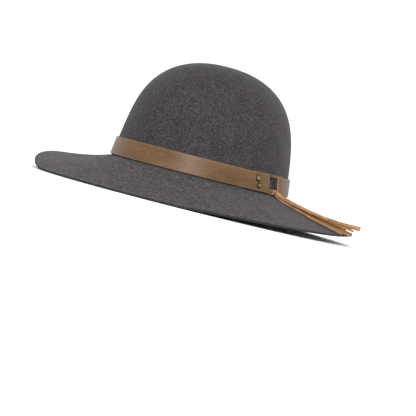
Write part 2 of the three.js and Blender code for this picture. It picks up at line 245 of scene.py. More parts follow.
def wool_felt(name, dark, light, pale, sheen):
    """Heathered felt between a dark and a light wool, with pale stray fibres and a painted light on the
    brim.
    """
    material = new_material(name)
    place = add_node(material, "TexCoord").outputs["Object"]
    heather = add_node(
        material, "TexNoise",
        {"Scale": size_mm(HEATHER), "Detail": 3.0, "Roughness": 0.7, "Distortion": 0.4},
        {"Vector": place},
    )
    clump = add_node(
        material, "TexNoise",
        {"Scale": size_mm(CLUMP), "Detail": 4.0, "Roughness": 0.75, "Distortion": 0.8},
        {"Vector": place},
    )
    cloud = add_node(
        material, "TexNoise",
        {"Scale": size_mm(CLOUD), "Detail": 2.0, "Roughness": 0.5},
        {"Vector": place},
    )
    fibre = add_node(
        material, "TexNoise",
        {"Scale": size_mm(FIBRE), "Detail": 2.0, "Roughness": 0.7, "Distortion": 1.8},
        {"Vector": place},
    )
    fine = add_node(
        material, "Math", {"operation": "MULTIPLY", 1: HEATHER_WEIGHT}, {0: heather.outputs["Fac"]},
    )
    brim_light_and_tufts = add_node(material, "Attribute", {"attribute_name": BRIM_LIGHT_AND_TUFTS})
    weight = add_node(
        material, "MapRange", {"To Min": TUFTS[0], "To Max": TUFTS[1]}, {"Value": brim_light_and_tufts.outputs["Fac"]},
    )
    tuft = add_node(
        material, "Math", {"operation": "SUBTRACT", 1: 0.5}, {0: clump.outputs["Fac"]},
    )
    clumped = add_node(
        material, "Math", {"operation": "MULTIPLY_ADD"},
        {0: tuft.outputs[0], 1: weight.outputs[0], 2: fine.outputs[0]},
    )
    tone = add_node(
        material, "Math", {"operation": "MULTIPLY_ADD", 1: CLOUD_WEIGHT},
        {0: cloud.outputs["Fac"], 2: clumped.outputs[0]},
    )
    speckle = add_node(
        material, "MapRange", {"From Min": WOOLS[0], "From Max": WOOLS[1]}, {"Value": tone.outputs[0]},
    )
    stray = add_node(
        material, "MapRange", {"From Min": 0.60, "From Max": 0.78, "To Max": 0.5},
        {"Value": fibre.outputs["Fac"]},
    )
    wool = add_node(
        material, "Mix", {"data_type": "RGBA", MIX_A: linear(dark), MIX_B: linear(light)},
        {"Factor": speckle.outputs[0]},
    )
    mixed = add_node(
        material, "Mix", {"data_type": "RGBA", MIX_B: linear(pale)},
        {"Factor": stray.outputs[0], MIX_A: wool.outputs[MIX_RESULT]},
    )
    # Painted light: the colour is scaled up on the brim, standing in for the light that its top catches
    painted_brim_light_gain = add_node(
        material, "MapRange", {"To Min": 1.0, "To Max": PAINTED_BRIM_LIGHT}, {"Value": brim_light_and_tufts.outputs["Fac"]},
    )
    colour_with_painted_brim_light = add_node(
        material, "VectorMath", {"operation": "SCALE"},
        {0: mixed.outputs[MIX_RESULT], "Scale": painted_brim_light_gain.outputs[0]},
    )
    nap = add_node(
        material, "Bump", {"Strength": 0.55, "Distance": 0.35 * MM},
        {"Height": fibre.outputs["Fac"]},
    )
    lumps = add_node(
        material, "Bump", {"Strength": 0.35, "Distance": 0.6 * MM},
        {"Height": heather.outputs["Fac"], "Normal": nap.outputs[0]},
    )
    shader = add_node(
        material, "BsdfPrincipled",
        {
            "Roughness": 0.93, "Specular IOR Level": 0.2, "IOR": 1.5,
            "Sheen Weight": sheen, "Sheen Roughness": 0.45, "Sheen Tint": linear("#c9c5ca"),
        },
        {"Base Color": colour_with_painted_brim_light.outputs[0], "Normal": lumps.outputs[0]},
    )
    add_node(material, "OutputMaterial", None, {"Surface": shader.outputs[0]})
    return material


FELT = wool_felt(
    "wool_felt_heather_grey", dark="#1c1a1b", light="#444042", pale="#747073", sheen=0.09,
)
CUT_FELT = wool_felt(
    "wool_felt_cut_edge", dark="#19181a", light="#2c2b2e", pale="#434145", sheen=0.05,
)
print("felt finishes:", FELT.name, CUT_FELT.name)

# %% [markdown]
# From mesh to piece
#
# Each piece is built as a bmesh and then made an object. One function does that for all of them:
# it shades the faces smooth, adds the finishes, hangs the piece on the body it rides on and hides the
# plain piece it stands for. Thin goods such as felt, leather and suede
# are modelled as a sheet and get their wall from a Solidify modifier, because that is what they are.
# A small Bevel then rounds the cut edges, which no real edge is without.

# %% Helpers for pieces
CUT_ANGLE = 50              # degrees; where faces meet at a sharper turn than this is a cut edge


def make_piece(name, shape, finishes, replaced):
    """Turns a bmesh into an object that rides on the hat."""
    mesh = bpy.data.meshes.new(name)
    shape.to_mesh(mesh)
    shape.free()
    mesh.shade_smooth()
    for finish in finishes:
        mesh.materials.append(finish)
    piece = bpy.data.objects.new(name, mesh)
    bpy.context.scene.collection.objects.link(piece)
    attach(piece, "root")
    if replaced:
        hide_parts(replaced)
    return piece


def thicken(piece, wall, side, rim_finish=0):
    """Gives a sheet its wall, in mm: side 1 is outward, -1 inward and 0 both ways."""
    solidify = piece.modifiers.new("wall", "SOLIDIFY")
    solidify.thickness = wall * MM
    solidify.offset = side
    solidify.use_even_offset = True
    solidify.material_offset_rim = rim_finish


def soften(piece, width, segments, finish=-1):
    """Rounds the cut edges of a wall, in mm; a finish number gives the rounding its own finish."""
    bevel = piece.modifiers.new("soft_edges", "BEVEL")
    bevel.width = width * MM
    bevel.segments = segments
    bevel.limit_method = "ANGLE"
    bevel.angle_limit = math.radians(CUT_ANGLE)
    bevel.harden_normals = True
    bevel.material = finish


def triangles(piece):
    """How many triangles a piece has with its modifiers."""
    evaluated = piece.evaluated_get(bpy.context.evaluated_depsgraph_get())
    mesh = evaluated.to_mesh()
    mesh.calc_loop_triangles()
    count = len(mesh.loop_triangles)
    evaluated.to_mesh_clear()
    return count


# %% [markdown]
# The felt hat
#
# A felt hat is made from a round blank that is pulled over an oval block and pressed. The mesh is
# made in the same two steps. First one outline, from the top of the crown down to a flat rim, is
# spun right round into a round blank. Then every vertex is moved by a function that knows the oval,
# the lean and the droop. The outline has more rows where the shape turns, in the dome and the break.
# Sculpting could do this too, but it could not be measured.

# %% Outline of the round blank
BLANK_RADIUS = 100          # mm; the blank's crown is this round before it is pressed oval
WALL_SHARE = 0.4            # the dome's rows start at this share of the crown's height
DOME_ROWS = 30
WALL_ROWS = 12
FILLET_ROWS = 4
BRIM_ROWS = 26
FELT_AROUND = 216


def blank_outline():
    """Radius and height of the blank's outline, from the top of the crown to the rim."""
    outline = []
    turn_start = math.asin(WALL_SHARE ** (CROWN_SHOULDER / 2))
    for i in range(DOME_ROWS):
        turn = lerp(math.pi / 2, turn_start, i / DOME_ROWS)
        height = CROWN_HEIGHT * math.sin(turn) ** (2 / CROWN_SHOULDER)
        outline.append((BLANK_RADIUS * crown_scale(height), height))
    for i in range(WALL_ROWS + 1):
        height = lerp(WALL_SHARE * CROWN_HEIGHT, BREAK_FILLET, i / WALL_ROWS)
        outline.append((BLANK_RADIUS * crown_scale(height), height))
    for i in range(1, FILLET_ROWS + 1):
        turn = math.pi / 2 * i / FILLET_ROWS
        radius = BLANK_RADIUS + BREAK_FILLET * (1 - math.cos(turn))
        outline.append((radius, BREAK_FILLET * (1 - math.sin(turn))))
    for i in range(BRIM_ROWS + 1):
        outline.append((BLANK_RADIUS + BAND_FACE + BRIM_WIDTH * i / BRIM_ROWS, 0))
    return outline


print("outline points:", len(blank_outline()))

# %% Pressing the blank into shape
NEAR = 0.001                # mm; places this near to each other are one place
UNEVEN_CROWN = 0.5          # hand pressing leaves the felt this uneven, in mm, at most
UNEVEN_BRIM = 0.4
UNEVEN_ABOVE = (22, 60)     # mm above the break: the wall is true behind the band, and uneven higher up
UNEVEN_BEYOND = (0.1, 0.5)  # shares of the brim's width: the brim is true at the break
UNEVEN_SIZE = 0.045         # metres from one swell to the next


def unevenness(point):
    """A slow random swell between -1 and 1, the same each time for the same place."""
    return noise.noise(point / UNEVEN_SIZE)


def press_crown(azimuth, radius, height):
    """Where a vertex of the blank's crown goes."""
    point = in_frame(azimuth, oval(azimuth) * radius / BLANK_RADIUS, height)
    swell = UNEVEN_CROWN * smoothstep(*UNEVEN_ABOVE, height) * unevenness(point)
    outward = Vector((math.sin(azimuth), -math.cos(azimuth), 0)) * crown_scale(height)
    return point + outward * swell * MM


def press_brim(azimuth, share):
    """Where a vertex of the blank's brim goes."""
    radius, height, here = brim_face(azimuth, share)
    lift = rest_lift(height - FELT_WALL * math.cos(here))
    point = in_frame(azimuth, radius, height + lift)
    swell = UNEVEN_BRIM * smoothstep(*UNEVEN_BEYOND, share) * unevenness(point)
    point.z += swell * MM * (1 - smoothstep(0, REST_BLEND, lift))
    return point


def press(place):
    """Where a vertex of the round blank goes on the hat."""
    azimuth = math.atan2(place.x, -place.y)
    radius = math.hypot(place.x, place.y)
    if place.z >= BREAK_FILLET - NEAR:
        return press_crown(azimuth, radius, place.z)
    run = radius - BLANK_RADIUS
    if run < BAND_FACE - NEAR:
        return in_frame(azimuth, oval(azimuth) + run, place.z)
    return press_brim(azimuth, (run - BAND_FACE) / BRIM_WIDTH)


# %% Spin the blank and press it
FELT_EDGE = 0.45            # rounding of the rim's cut edge, mm
BRIM_LIGHT_RUN = 8              # mm outward of the break over which the brim's painted light and heavier tufts come in


def spin_outline(outline, around, unit):
    """A mesh spun right round from an outline of radii and heights, which are in this unit."""
    shape = bmesh.new()
    points = [shape.verts.new((radius * unit, 0, height * unit)) for radius, height in outline]
    lines = [shape.edges.new(pair) for pair in zip(points, points[1:])]
    bmesh.ops.spin(
        shape, geom=points + lines, cent=(0, 0, 0), axis=(0, 0, 1),
        angle=math.tau, steps=around, use_merge=True,
    )
    bmesh.ops.remove_doubles(shape, verts=shape.verts, dist=NEAR * unit)
    return shape


blank = spin_outline(blank_outline(), FELT_AROUND, 1)
# Painted light: 1 on the brim, which the felt finish paints paler and gives heavier tufts
brim_light_layer = blank.verts.layers.float.new(BRIM_LIGHT_AND_TUFTS)
for vertex in blank.verts:
    run = vertex.co.xy.length - BLANK_RADIUS
    vertex[brim_light_layer] = smoothstep(0, BRIM_LIGHT_RUN, run)
    vertex.co = press(vertex.co)
bmesh.ops.recalc_face_normals(blank, faces=blank.faces)
blank.faces.ensure_lookup_table()
crown_face = max(blank.faces, key=lambda face: face.calc_center_median().z)
if crown_face.normal.z < 0:
    bmesh.ops.reverse_faces(blank, faces=blank.faces)

felt_hat = make_piece("felt_hat", blank, [FELT, CUT_FELT], "felt_body")
thicken(felt_hat, FELT_WALL, -1, rim_finish=1)
soften(felt_hat, FELT_EDGE, 2, finish=1)
print("felt hat triangles:", triangles(felt_hat))

# %% [markdown]
# Sheets wrapped round the crown
#
# The sweatband, the leather band and the suede are all flat strips. Each starts as a plain grid.
# A function of how far round and how high a vertex is then lays it on the hat. The grid's UVs are
# stretched to real lengths in metres, so that a pattern on the strip keeps its true scale.

# %% Helper: a strip laid on the hat
SEAM = 0.01                 # mm; vertices this near to each other are the two sides of a seam
STEP = 0.5                  # degrees; a short step round the hat, which shows the way at a place


def strip(columns, rows, length, width, lay):
    """A grid whose vertices are laid by lay(along, across), shares from 0 to 1; UVs are in metres."""
    sheet = bmesh.new()
    sheet.loops.layers.uv.new("UVMap")
    add_strip(sheet, columns, rows, length, width, lay)
    return sheet


def add_strip(sheet, columns, rows, length, width, lay):
    """Adds one strip to a mesh, so that several can share an object."""
    uv_layer = sheet.loops.layers.uv.active
    grid = bmesh.ops.create_grid(
        sheet, x_segments=columns, y_segments=rows, size=1, calc_uvs=True,
    )
    for face in {face for vertex in grid["verts"] for face in vertex.link_faces}:
        for loop in face.loops:
            along = (loop.vert.co.x + 1) / 2
            across = (loop.vert.co.y + 1) / 2
            loop[uv_layer].uv = (along * length * MM, across * width * MM)
    for vertex in grid["verts"]:
        vertex.co = lay((vertex.co.x + 1) / 2, (vertex.co.y + 1) / 2)


HAT_ROUND = math.pi * (BASE_WIDE + BASE_LONG)  # near enough the length round the oval
print("round the hat, mm:", round(HAT_ROUND))

# %% [markdown]
# The sweatband
#
# Inside the opening runs a black woven band, the part of a hat that is felt when it is worn. It is
# grosgrain ribbon: fine ribs run from edge to edge, and its lower edge turns out a little over the
# break, where a row of grey stitches holds it. The ribs are too fine to be geometry, so they are a
# wave along the ribbon's UV. The stitches are real little pieces, because they catch the light.

# %% Grosgrain and thread finishes
RIB_PITCH = 1.1             # mm from rib to rib
TWIST = 0.4                 # mm across a ply of the thread
WAVE_PERIOD = math.tau / 20  # a Wave texture of scale 1 repeats after this many units


def grosgrain():
    """Black ribbed ribbon: dull black with a slight sheen on the ribs."""
    material = new_material("grosgrain_ribbon_black")
    place = add_node(material, "UVMap").outputs[0]
    ribs = add_node(
        material, "TexWave",
        {"bands_direction": "X", "Scale": WAVE_PERIOD / (RIB_PITCH * MM), "Distortion": 0.3},
        {"Vector": place},
    )
    tone = add_node(
        material, "Mix",
        {"data_type": "RGBA", MIX_A: linear("#0d0b0b"), MIX_B: linear("#262222")},
        {"Factor": ribs.outputs["Fac"]},
    )
    relief = add_node(
        material, "Bump", {"Strength": 0.7, "Distance": 0.3 * MM}, {"Height": ribs.outputs["Fac"]},
    )
    shader = add_node(
        material, "BsdfPrincipled",
        {"Roughness": 0.6, "Sheen Weight": 0.15, "Sheen Roughness": 0.4, "IOR": 1.5},
        {"Base Color": tone.outputs[MIX_RESULT], "Normal": relief.outputs[0]},
    )
    add_node(material, "OutputMaterial", None, {"Surface": shader.outputs[0]})
    return material


def thread():
    """Grey polyester thread, twisted, with a soft shine along it."""
    material = new_material("polyester_thread_grey")
    place = add_node(material, "TexCoord").outputs["Object"]
    twist = add_node(
        material, "TexNoise", {"Scale": size_mm(TWIST), "Detail": 1.0}, {"Vector": place},
    )
    tone = add_node(
        material, "Mix",
        {"data_type": "RGBA", MIX_A: linear("#4a4648"), MIX_B: linear("#767174")},
        {"Factor": twist.outputs["Fac"]},
    )
    shader = add_node(
        material, "BsdfPrincipled", {"Roughness": 0.5}, {"Base Color": tone.outputs[MIX_RESULT]},
    )
    add_node(material, "OutputMaterial", None, {"Surface": shader.outputs[0]})
    return material


GROSGRAIN = grosgrain()
THREAD = thread()
print("ribs across the sweatband:", round(HAT_ROUND / RIB_PITCH))

# %% Sweatband and its stitches
SWEATBAND_TOP = 31
SWEATBAND_WALL = 1.2
SWEATBAND_BACK = -3.9       # its inner face, inward of the felt's outer face
SWEATBAND_FLARE = 0.75      # how far its lower edge turns out
SWEATBAND_BEND = 2          # mm above the break, where it starts to turn out
SWEATBAND_EDGE = 0.35       # rounding of its edges
SWEATBAND_GRID = {"columns": 180, "rows": 24}
STITCH_HEIGHT = -0.6
STITCH_LENGTH = 2.6
STITCH_WIDTH = 0.55
STITCHES = 120


def sweatband_face(height):
    """Offset of the sweatband's inner face at a height: it turns out towards its foot."""
    return SWEATBAND_BACK + SWEATBAND_FLARE * smoothstep(SWEATBAND_BEND, SWEATBAND_FOOT, height)


def lay_sweatband(along, across):
    """Where a place of the ribbon goes."""
    height = lerp(SWEATBAND_FOOT, SWEATBAND_TOP, across)
    return on_wall(360 * along, height, sweatband_face(height))


ribbon = strip(
    **SWEATBAND_GRID, length=HAT_ROUND, width=SWEATBAND_TOP - SWEATBAND_FOOT, lay=lay_sweatband,
)
bmesh.ops.remove_doubles(ribbon, verts=ribbon.verts, dist=SEAM * MM)
sweatband = make_piece("sweatband_ribbon", ribbon, [GROSGRAIN], "sweatband")
thicken(sweatband, SWEATBAND_WALL, 1)
soften(sweatband, SWEATBAND_EDGE, 2)

stitches = bmesh.new()
stitch_size = Matrix.Diagonal(
    (STITCH_LENGTH * MM / 2, STITCH_WIDTH * MM / 2, STITCH_WIDTH * MM / 2, 1),
)
for i in range(STITCHES):
    degrees = 360 * i / STITCHES
    seat = on_wall(degrees, STITCH_HEIGHT, sweatband_face(STITCH_HEIGHT))
    ahead = on_wall(degrees + STEP, STITCH_HEIGHT, sweatband_face(STITCH_HEIGHT)) - seat
    turn = ahead.normalized().to_track_quat("X", "Z").to_matrix().to_4x4()
    bmesh.ops.create_uvsphere(
        stitches, u_segments=8, v_segments=6, radius=1,
        matrix=Matrix.Translation(seat) @ turn @ stitch_size,
    )
stitching = make_piece("sweatband_stitching", stitches, [THREAD], None)
print("sweatband triangles:", triangles(sweatband), "stitching:", triangles(stitching))

# %% [markdown]
# Leather
#
# The band is vegetable-tanned cowhide with a waxed finish: brown with a golden cast, a little patchy,
# with a fine pebble grain and a satin gloss that spreads a highlight wide. Its cut edges are burnished,
# which makes them darker and smoother. The grain comes from a Voronoi texture, whose cells are shaped
# like the pebbles, and the patchiness from slow noise, stretched along the strip as the hide was
# pulled when it was cut. Use rubs the colour off along the edges of a strip, so the mesh carries a
# value that is highest on its border, and the finish turns paler with it. Part of that pale border is
# a painted highlight, for the light that a cut edge catches.

# %% Leather finishes
GRAIN = 1.5                 # mm across a pebble of the grain, coarser than life so that it shows
PATCH = 24                  # mm across a patch of tone
STREAK = 3.4                # mm across a streak along the strip
STRETCH = (0.3, 1.0, 1.0)   # a smaller scale along the strip draws patches and streaks out
SATIN = 0.07                # the roughness varies by this much either way
WEAR_AND_HIGHLIGHT = "worn"               # a value on the mesh: how pale the border of a strip is, for wear and a painted highlight


def leather(name, dark, light, rubbed, pale, roughness):
    """Waxed leather between two browns, with rubbed streaks and a pale border, partly wear and partly
    painted highlight.
    """
    material = new_material(name)
    place = add_node(material, "UVMap").outputs[0]
    along = add_node(material, "Mapping", {"Scale": STRETCH}, {"Vector": place})
    patch = add_node(
        material, "TexNoise", {"Scale": size_mm(PATCH), "Detail": 4.0, "Roughness": 0.55},
        {"Vector": along.outputs[0]},
    )
    streak = add_node(
        material, "TexNoise", {"Scale": size_mm(STREAK), "Detail": 3.0, "Roughness": 0.6},
        {"Vector": along.outputs[0]},
    )
    pebble = add_node(
        material, "TexVoronoi",
        {"feature": "SMOOTH_F1", "Scale": size_mm(GRAIN), "Smoothness": 0.6, "Randomness": 0.9},
        {"Vector": place},
    )
    browns = add_node(
        material, "MapRange", {"From Min": 0.36, "From Max": 0.64}, {"Value": patch.outputs["Fac"]},
    )
    brown = add_node(
        material, "Mix", {"data_type": "RGBA", MIX_A: linear(dark), MIX_B: linear(light)},
        {"Factor": browns.outputs[0]},
    )
    rubs = add_node(
        material, "MapRange", {"From Min": 0.5, "From Max": 0.75, "To Max": 0.55},
        {"Value": streak.outputs["Fac"]},
    )
    streaked = add_node(
        material, "Mix", {"data_type": "RGBA", MIX_B: linear(rubbed)},
        {"Factor": rubs.outputs[0], MIX_A: brown.outputs[MIX_RESULT]},
    )
    # Painted highlight: the border is mixed towards the pale colour, partly wear and partly the light an
    # edge catches
    border = add_node(material, "Attribute", {"attribute_name": WEAR_AND_HIGHLIGHT})
    wear_and_highlight_colour = add_node(
        material, "Mix", {"data_type": "RGBA", MIX_B: linear(pale)},
        {"Factor": border.outputs["Fac"], MIX_A: streaked.outputs[MIX_RESULT]},
    )
    creases = add_node(
        material, "MapRange", {"From Min": 0.3, "From Max": 0.7, "To Max": 0.6},
        {"Value": pebble.outputs["Distance"]},
    )
    grained = add_node(
        material, "Mix", {"data_type": "RGBA", MIX_B: linear(dark)},
        {"Factor": creases.outputs[0], MIX_A: wear_and_highlight_colour.outputs[MIX_RESULT]},
    )
    satin = add_node(
        material, "MapRange", {"To Min": roughness - SATIN, "To Max": roughness + SATIN},
        {"Value": streak.outputs["Fac"]},
    )
    relief = add_node(
        material, "Bump", {"Strength": 0.6, "Distance": -0.3 * MM},
        {"Height": pebble.outputs["Distance"]},
    )
    shader = add_node(
        material, "BsdfPrincipled", {"IOR": 1.5, "Specular IOR Level": 0.3},
        {
            "Base Color": grained.outputs[MIX_RESULT],
            "Roughness": satin.outputs[0],
            "Normal": relief.outputs[0],
        },
    )
    add_node(material, "OutputMaterial", None, {"Surface": shader.outputs[0]})
    return material


LEATHER = leather(
    "waxed_leather_brown", dark="#503820", light="#644729", rubbed="#735638", pale="#b39a78",
    roughness=0.43,
)
LEATHER_EDGE = leather(
    "leather_burnished_edge", dark="#3c2814", light="#4d341d", rubbed="#5e432b", pale="#5e432b",
    roughness=0.36,
)
print("leather finishes:", LEATHER.name, LEATHER_EDGE.name)

# %% [markdown]
# The leather band and its loop
#
# The band is one strip that starts behind the slot, goes right round the crown, and comes back over
# the front part of the loop, where two rivets hold it. The loop is a flat frame of the same leather
# round a window: its front part lies under the band's end, and its rear part over the band's start.
# The upright edges lean forward a little. For the loop, two rectangles get their corners rounded
# by a vertex bevel, and are bridged, which makes the frame with its window in one step.

# %% Band sizes, and how each strip stands off the felt
GAP = 0.3                   # between pieces that lie on each other
BAND_WALL = 1.7
BAND_FOOT = 1.3             # height of the lower edge above the break
BAND_TOP = 19.8
LOOP_WALL = 1.5
LOOP_FOOT = 2.2
LOOP_TOP = 20.8
LOOP_RAIL = 2.5             # height of the loop's frame above the window, and below it
BAND_START = 97.6           # degrees of azimuth; the band's first end, behind the window
BAND_END = 87.6             # its second end, one turn later
RAMP = (62, 70)             # where the band starts to rise over the loop, and where it has risen
LOOP_FRONT = 73             # the window ends at the rear where the band starts
WINDOW_FRONT = 84
LOOP_RISE = (89, 91.4)      # where the loop rises over the band's first end
LOOP_REAR = 105
LOOP_CORNER = 1.6           # radius of the loop's outer corners
WINDOW_CORNER = 1.3
BAND_EDGE = 0.45            # rounding of the cut edges
LOOP_EDGE = 0.6
EDGE_LEAN = 2.4             # degrees that an upright edge leans forward at the band's top


def edge_shift(height):
    """Degrees that an upright edge moves at a height."""
    return -EDGE_LEAN * (height - BAND_FOOT) / (BAND_TOP - BAND_FOOT)


def band_back(degrees):
    """The band's inner face, outward of the felt; degrees run on past 360."""
    return GAP + smoothstep(360 + RAMP[0], 360 + RAMP[1], degrees) * (LOOP_WALL + GAP)


def loop_back(degrees):
    """The loop's inner face, outward of the felt."""
    return GAP + smoothstep(*LOOP_RISE, degrees) * (BAND_WALL + GAP)


# %% The pale border of a strip: wear and painted highlight
BAND_WEAR_AND_HIGHLIGHT = 0.1             # 0 is as new, and 1 is the pale hide; wear and a painted highlight on the edge
LOOP_WEAR_AND_HIGHLIGHT = 0.16
WINDOW_PAINTED_HIGHLIGHT = 0.85          # painted highlight: the window's edge is painted pale, for the light its fold catches


def wear_and_highlight_border(sheet, amount, where=lambda place: True):
    """Marks the border of a sheet as pale, for wear and a painted highlight; the value fades over the
    first row of faces.
    """
    layers = sheet.verts.layers.float
    wear_and_highlight_layer = layers.get(WEAR_AND_HIGHLIGHT) or layers.new(WEAR_AND_HIGHLIGHT)
    marked = [vertex for vertex in sheet.verts if vertex.is_boundary and where(vertex.co)]
    for vertex in marked:
        vertex[wear_and_highlight_layer] = amount
    print("worn border vertices:", len(marked))


# %% The band
END_LEAN_RUN = 6            # degrees over which the lean of an end dies out
BAND_GRID = {"columns": 240, "rows": 10}


def lay_band(along, across):
    """Where a place of the band goes; its two ends lean forward."""
    start = BAND_START
    end = 360 + BAND_END
    degrees = lerp(start, end, along)
    height = lerp(BAND_FOOT, BAND_TOP, across)
    near_end = max(1 - (degrees - start) / END_LEAN_RUN, 1 - (end - degrees) / END_LEAN_RUN, 0)
    return on_wall(degrees + edge_shift(height) * near_end, height, band_back(degrees))


band_length = HAT_ROUND * (360 + BAND_END - BAND_START) / 360
band_sheet = strip(**BAND_GRID, length=band_length, width=BAND_TOP - BAND_FOOT, lay=lay_band)
wear_and_highlight_border(band_sheet, BAND_WEAR_AND_HIGHLIGHT)
band = make_piece("leather_band", band_sheet, [LEATHER, LEATHER_EDGE], "hat_band")
thicken(band, BAND_WALL, 1, rim_finish=1)
soften(band, BAND_EDGE, 3, finish=0)
print("band length, mm:", round(band_length), "triangles:", triangles(band))

# %% The loop
MM_PER_DEGREE = math.tau * BASE_WIDE / 360
CORNER_SEGMENTS = 5
SHORT = 2.5                 # mm; the edges of the round corners are shorter than this, the sides longer
CUTS_ALONG = 25             # the loop's sheet is cut this often along the hat,
CUTS_UP = 9                 # up the hat,
CUTS_ACROSS = 5             # and from its outside to its window
WINDOW_MARGIN = 1           # degrees or mm round the window that still count as its border


def rounded_rectangle(shape, front, rear, foot, top, corner):
    """Adds a flat face with round corners, in mm: X is along the wall and Y is the height."""
    centre = Vector(((front + rear) / 2 * MM_PER_DEGREE, (foot + top) / 2, 0))
    half = Matrix.Diagonal(((rear - front) / 2 * MM_PER_DEGREE, (top - foot) / 2, 1, 1))
    made = bmesh.ops.create_grid(
        shape, x_segments=1, y_segments=1, size=1, matrix=Matrix.Translation(centre) @ half,
    )
    face = made["verts"][0].link_faces[0]
    bmesh.ops.bevel(
        shape, geom=list(face.verts), affect="VERTICES", offset=corner, offset_type="OFFSET",
        segments=CORNER_SEGMENTS, profile=0.5, material=-1,
    )


def flat_loop():
    """The loop as a flat sheet, before it is laid on the wall."""
    shape = bmesh.new()
    shape.loops.layers.uv.new("UVMap")
    rounded_rectangle(shape, LOOP_FRONT, LOOP_REAR, LOOP_FOOT, LOOP_TOP, LOOP_CORNER)
    rounded_rectangle(
        shape, WINDOW_FRONT, BAND_START, LOOP_FOOT + LOOP_RAIL, LOOP_TOP - LOOP_RAIL, WINDOW_CORNER,
    )
    # Both faces go and their outlines stay, cut finely enough to bend round the hat
    bmesh.ops.delete(shape, geom=list(shape.faces), context="FACES_ONLY")
    sides = [edge for edge in shape.edges if edge.calc_length() > SHORT]
    for side in sides:
        run = side.verts[0].co - side.verts[1].co
        cuts = CUTS_ALONG if abs(run.x) > abs(run.y) else CUTS_UP
        bmesh.ops.subdivide_edges(shape, edges=[side], cuts=cuts)
    # The frame is what lies between the two outlines
    bridge = bmesh.ops.bridge_loops(shape, edges=list(shape.edges))
    bmesh.ops.subdivide_edges(shape, edges=bridge["edges"], cuts=CUTS_ACROSS, use_grid_fill=True)
    bmesh.ops.recalc_face_normals(shape, faces=shape.faces)
    shape.normal_update()
    if next(iter(shape.faces)).normal.z < 0:
        bmesh.ops.reverse_faces(shape, faces=shape.faces)
    return shape


def at_window(place):
    """True on the window's side of the loop, while the loop is still flat."""
    past_front = place.x / MM_PER_DEGREE > WINDOW_FRONT - WINDOW_MARGIN
    before_rear = place.x / MM_PER_DEGREE < BAND_START + WINDOW_MARGIN
    between_rails = LOOP_FOOT + WINDOW_MARGIN < place.y < LOOP_TOP - WINDOW_MARGIN
    return past_front and before_rear and between_rails


loop_sheet = flat_loop()
wear_and_highlight_border(loop_sheet, LOOP_WEAR_AND_HIGHLIGHT)
wear_and_highlight_border(loop_sheet, WINDOW_PAINTED_HIGHLIGHT, at_window)
uv_layer = loop_sheet.loops.layers.uv.active
for face in loop_sheet.faces:
    for corner in face.loops:
        corner[uv_layer].uv = corner.vert.co.xy * MM
for vertex in loop_sheet.verts:
    degrees = vertex.co.x / MM_PER_DEGREE
    height = vertex.co.y
    vertex.co = on_wall(degrees + edge_shift(height), height, loop_back(degrees))
loop = make_piece("leather_loop", loop_sheet, [LEATHER, LEATHER_EDGE], "band_loop")
thicken(loop, LOOP_WALL, 1, rim_finish=1)
soften(loop, LOOP_EDGE, 3, finish=0)
print("loop triangles:", triangles(loop))

# %% [markdown]
# Suede
#
# The thongs of the tassel are cut from suede, the split side of a hide. It is a warm orange brown with
# a velvet nap, so it has no gloss, and its tone changes in soft patches as the nap lies one way or the
# other. The shader's sheen gives the bright edge that the nap has at a grazing angle.

# %% Suede finish
NAP = 0.7                   # mm across a fibre, coarser than the real ones
NAP_STRETCH = (0.45, 1.0, 1.0)  # the nap was brushed along the thong, which draws it out
NAP_WEIGHT = 0.5            # its weight in the tone, against 1 for the patches
SUEDE_PATCH = 7             # mm across a patch


def suede():
    """Napped suede, patchy and dull."""
    material = new_material("suede_tan")
    place = add_node(material, "TexCoord").outputs["Object"]
    strip_place = add_node(material, "UVMap").outputs[0]
    along = add_node(material, "Mapping", {"Scale": NAP_STRETCH}, {"Vector": strip_place})
    nap = add_node(
        material, "TexNoise", {"Scale": size_mm(NAP), "Detail": 3.0, "Roughness": 0.7},
        {"Vector": along.outputs[0]},
    )
    patch = add_node(
        material, "TexNoise", {"Scale": size_mm(SUEDE_PATCH), "Detail": 2.0}, {"Vector": place},
    )
    tone = add_node(
        material, "Math", {"operation": "MULTIPLY_ADD", 1: NAP_WEIGHT},
        {0: nap.outputs["Fac"], 2: patch.outputs["Fac"]},
    )
    share = add_node(
        material, "MapRange", {"From Min": 0.5, "From Max": 1.0}, {"Value": tone.outputs[0]},
    )
    colour = add_node(
        material, "Mix",
        {"data_type": "RGBA", MIX_A: linear("#745034"), MIX_B: linear("#a47e56")},
        {"Factor": share.outputs[0]},
    )
    relief = add_node(
        material, "Bump", {"Strength": 0.5, "Distance": 0.2 * MM}, {"Height": nap.outputs["Fac"]},
    )
    shader = add_node(
        material, "BsdfPrincipled",
        {
            "Roughness": 0.95, "Specular IOR Level": 0.2,
            "Sheen Weight": 0.25, "Sheen Roughness": 0.5, "Sheen Tint": linear("#e0b48c"),
        },
        {"Base Color": colour.outputs[MIX_RESULT], "Normal": relief.outputs[0]},
    )
    add_node(material, "OutputMaterial", None, {"Surface": shader.outputs[0]})
    return material


SUEDE = suede()
print("suede finish:", SUEDE.name)

# %% [markdown]
# Turns of suede round the loop
#
# The thongs are doubled over the loop's lower rail. Each turn is a short ribbon bent right round the
# rail: a grid whose length runs round the rail's section, an oval with flat sides, and whose width
# runs along the hat. Its two ends are merged before the wall is added, which leaves no seam.

# %% The turns
THONG_WIDTH = 3.0
THONG_WALL = 1.1
SUEDE_EDGE = 0.25                   # rounding of the cut edges
TURN_WIDTH = 2.2                    # pulled tight, a thong is narrower
TURN_SLANT = 0.25                   # degrees that the top of a turn is set back, and its foot forward
TURN_GRID = {"columns": 28, "rows": 3}
TURNS = [91.2, 92.72, 94.24, 95.76]  # azimuth of each turn's middle


def squared(value):
    """Pushes a sine towards a square wave, which turns a circle into an oval with flat sides."""
    return math.copysign(abs(value) ** 0.5, value)


